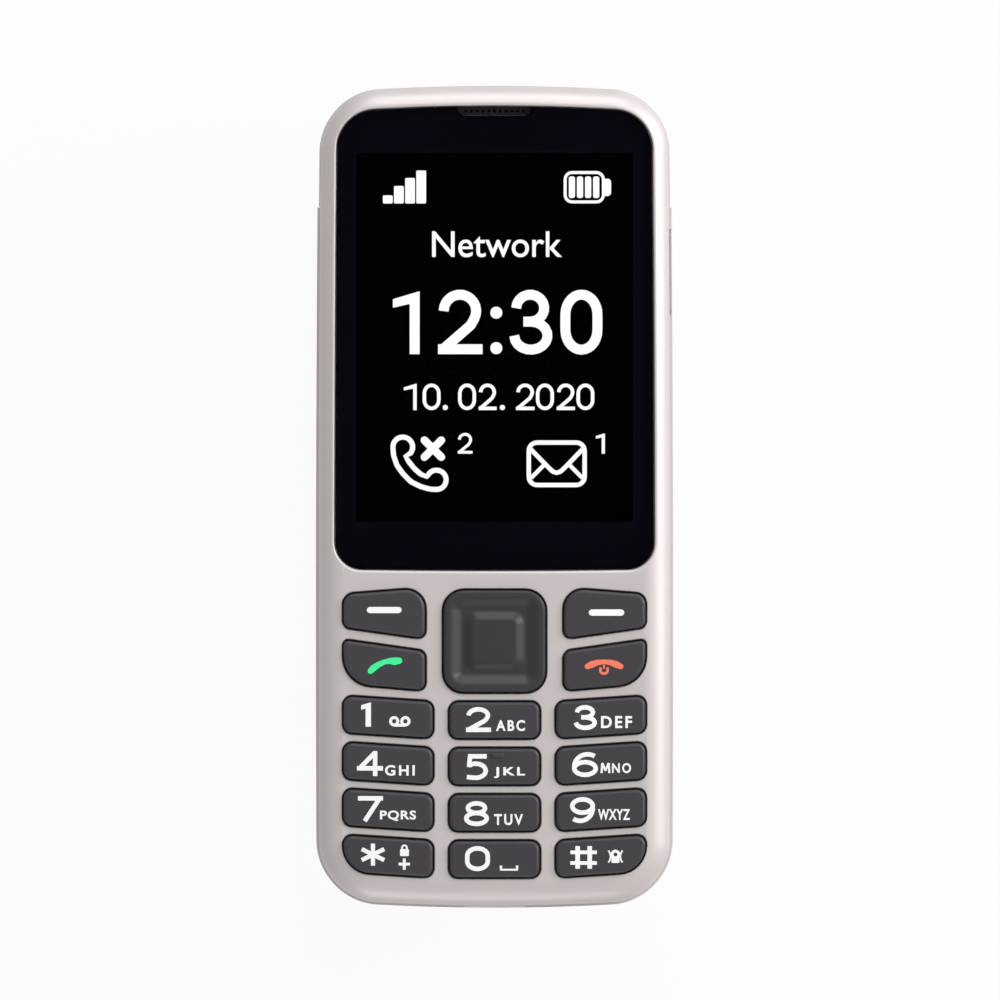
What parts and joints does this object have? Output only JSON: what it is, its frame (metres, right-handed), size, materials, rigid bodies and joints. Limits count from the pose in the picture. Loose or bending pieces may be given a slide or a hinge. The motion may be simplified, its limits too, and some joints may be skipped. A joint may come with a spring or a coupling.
{
  "type": "feature phone",
  "caption": "Bar-shaped keypad phone with a glass-fronted display, a square navigation key, shaped number keys and a lift-off battery cover; it makes calls and sends messages.",
  "frame": {"origin": "middle of the back, on the surface that the phone lies on", "axes": "+X to the phone's right, +Y towards the earpiece, +Z out of the screen"},
  "size_m": [0.056, 0.1287, 0.0161],
  "materials": {
    "front_shell": "satin silver paint",
    "back_shell": "satin silver paint",
    "key_plastic": "fine matt charcoal",
    "key_rubber": "soft-touch charcoal",
    "volume_plastic": "satin",
    "lens_glass": "clear glass over a black print",
    "camera_glass": "polished",
    "clear_plastic": "clear moulding",
    "display": "lit panel",
    "black_tape": "matt",
    "black_foam": "foam",
    "black_mesh": "fine mesh",
    "black_plastic": "moulded",
    "tray_metal": "pressed sheet",
    "can_metal": "tinned sheet",
    "socket_metal": "drawn shell",
    "spring_steel": "bright",
    "gold_contact": "gold plated",
    "flex_film": "amber film",
    "clear_film": "clear film",
    "silicone": "moulded silicone",
    "led_white": "small packages",
    "board_green": "solder mask",
    "battery_wrap": "plain wrap"
  },
  "bodies": {
    "phone": {"front_housing": "front_shell", "display_lens": "lens_glass", "lens_adhesive": "black_tape", "display_gasket": "black_foam", "display_panel": "display", "display_tray": "tray_metal", "display_flex": "flex_film", "earpiece_mesh": "black_mesh", "earpiece_speaker": "can_metal", "keypad_mat": "silicone", "dome_film": "clear_film", "key_domes": "spring_steel", "keypad_leds": "led_white", "main_board": "board_green", "shield_cans": "can_metal", "usb_socket": "socket_metal", "headset_jack": "black_plastic", "sim_sockets": "can_metal", "memory_card_socket": "can_metal", "battery_contacts": "gold_contact", "vibration_motor": "can_metal", "loudspeaker": "black_plastic", "microphone": "gold_contact", "rear_camera": "black_plastic", "camera_window": "camera_glass", "flash_led": "led_white", "flash_lens": "clear_plastic", "antenna": "gold_contact", "volume_switches": "can_metal", "rear_housing": "back_shell", "battery": "battery_wrap", "case_screws": "spring_steel"},
    "soft_key_left": {"soft_key_left": "key_plastic"},
    "soft_key_right": {"soft_key_right": "key_plastic"},
    "call_key": {"call_key": "key_plastic"},
    "end_key": {"end_key": "key_plastic"},
    "key_1": {"key_1": "key_plastic"},
    "key_2": {"key_2": "key_plastic"},
    "key_3": {"key_3": "key_plastic"},
    "key_4": {"key_4": "key_plastic"},
    "key_5": {"key_5": "key_plastic"},
    "key_6": {"key_6": "key_plastic"},
    "key_7": {"key_7": "key_plastic"},
    "key_8": {"key_8": "key_plastic"},
    "key_9": {"key_9": "key_plastic"},
    "key_star": {"key_star": "key_plastic"},
    "key_0": {"key_0": "key_plastic"},
    "key_hash": {"key_hash": "key_plastic"},
    "navigation_key": {"navigation_key": "key_rubber"},
    "navigation_rocker": {"navigation_rocker": "silicone"},
    "select_plunger": {"select_plunger": "silicone"},
    "volume_key": {"volume_key": "volume_plastic"},
    "battery_cover": {"battery_cover": "back_shell"}
  },
  "joints": [
    {"name": "soft_key_left_press", "type": "slide", "parent": "phone", "child": "soft_key_left", "axis": [0, 0, -1], "range_m": [0, 0.0005], "stiffness_N_per_m": 400},
    {"name": "soft_key_right_press", "type": "slide", "parent": "phone", "child": "soft_key_right", "axis": [0, 0, -1], "range_m": [0, 0.0005], "stiffness_N_per_m": 400},
    {"name": "call_key_press", "type": "slide", "parent": "phone", "child": "call_key", "axis": [0, 0, -1], "range_m": [0, 0.0005], "stiffness_N_per_m": 400},
    {"name": "end_key_press", "type": "slide", "parent": "phone", "child": "end_key", "axis": [0, 0, -1], "range_m": [0, 0.0005], "stiffness_N_per_m": 400},
    {"name": "key_1_press", "type": "slide", "parent": "phone", "child": "key_1", "axis": [0, 0, -1], "range_m": [0, 0.0005], "stiffness_N_per_m": 400},
    {"name": "key_2_press", "type": "slide", "parent": "phone", "child": "key_2", "axis": [0, 0, -1], "range_m": [0, 0.0005], "stiffness_N_per_m": 400},
    {"name": "key_3_press", "type": "slide", "parent": "phone", "child": "key_3", "axis": [0, 0, -1], "range_m": [0, 0.0005], "stiffness_N_per_m": 400},
    {"name": "key_4_press", "type": "slide", "parent": "phone", "child": "key_4", "axis": [0, 0, -1], "range_m": [0, 0.0005], "stiffness_N_per_m": 400},
    {"name": "key_5_press", "type": "slide", "parent": "phone", "child": "key_5", "axis": [0, 0, -1], "range_m": [0, 0.0005], "stiffness_N_per_m": 400},
    {"name": "key_6_press", "type": "slide", "parent": "phone", "child": "key_6", "axis": [0, 0, -1], "range_m": [0, 0.0005], "stiffness_N_per_m": 400},
    {"name": "key_7_press", "type": "slide", "parent": "phone", "child": "key_7", "axis": [0, 0, -1], "range_m": [0, 0.0005], "stiffness_N_per_m": 400},
    {"name": "key_8_press", "type": "slide", "parent": "phone", "child": "key_8", "axis": [0, 0, -1], "range_m": [0, 0.0005], "stiffness_N_per_m": 400},
    {"name": "key_9_press", "type": "slide", "parent": "phone", "child": "key_9", "axis": [0, 0, -1], "range_m": [0, 0.0005], "stiffness_N_per_m": 400},
    {"name": "key_star_press", "type": "slide", "parent": "phone", "child": "key_star", "axis": [0, 0, -1], "range_m": [0, 0.0005], "stiffness_N_per_m": 400},
    {"name": "key_0_press", "type": "slide", "parent": "phone", "child": "key_0", "axis": [0, 0, -1], "range_m": [0, 0.0005], "stiffness_N_per_m": 400},
    {"name": "key_hash_press", "type": "slide", "parent": "phone", "child": "key_hash", "axis": [0, 0, -1], "range_m": [0, 0.0005], "stiffness_N_per_m": 400},
    {"name": "select_press", "type": "slide", "parent": "phone", "child": "select_plunger", "axis": [0, 0, -1], "range_m": [0, 0.00035], "stiffness_N_per_m": 500},
    {"name": "navigation_left_right", "type": "hinge", "parent": "select_plunger", "child": "navigation_rocker", "pos_m": [0, -0.0227, 0.01123], "axis": [0, 1, 0], "range_deg": [-2, 2], "stiffness_Nm_per_rad": 0.05},
    {"name": "navigation_up_down", "type": "hinge", "parent": "navigation_rocker", "child": "navigation_key", "pos_m": [0, -0.0227, 0.01217], "axis": [1, 0, 0], "range_deg": [-2, 2], "stiffness_Nm_per_rad": 0.05},
    {"name": "volume_rock", "type": "hinge", "parent": "phone", "child": "volume_key", "pos_m": [0.02573, 0.035, 0.00665], "axis": [0, 0, 1], "range_deg": [-2, 2], "stiffness_Nm_per_rad": 0.05},
    {"name": "battery_cover_lift", "type": "slide", "parent": "phone", "child": "battery_cover", "axis": [0, 0, -1], "range_m": [0, 0.012]}
  ]
}
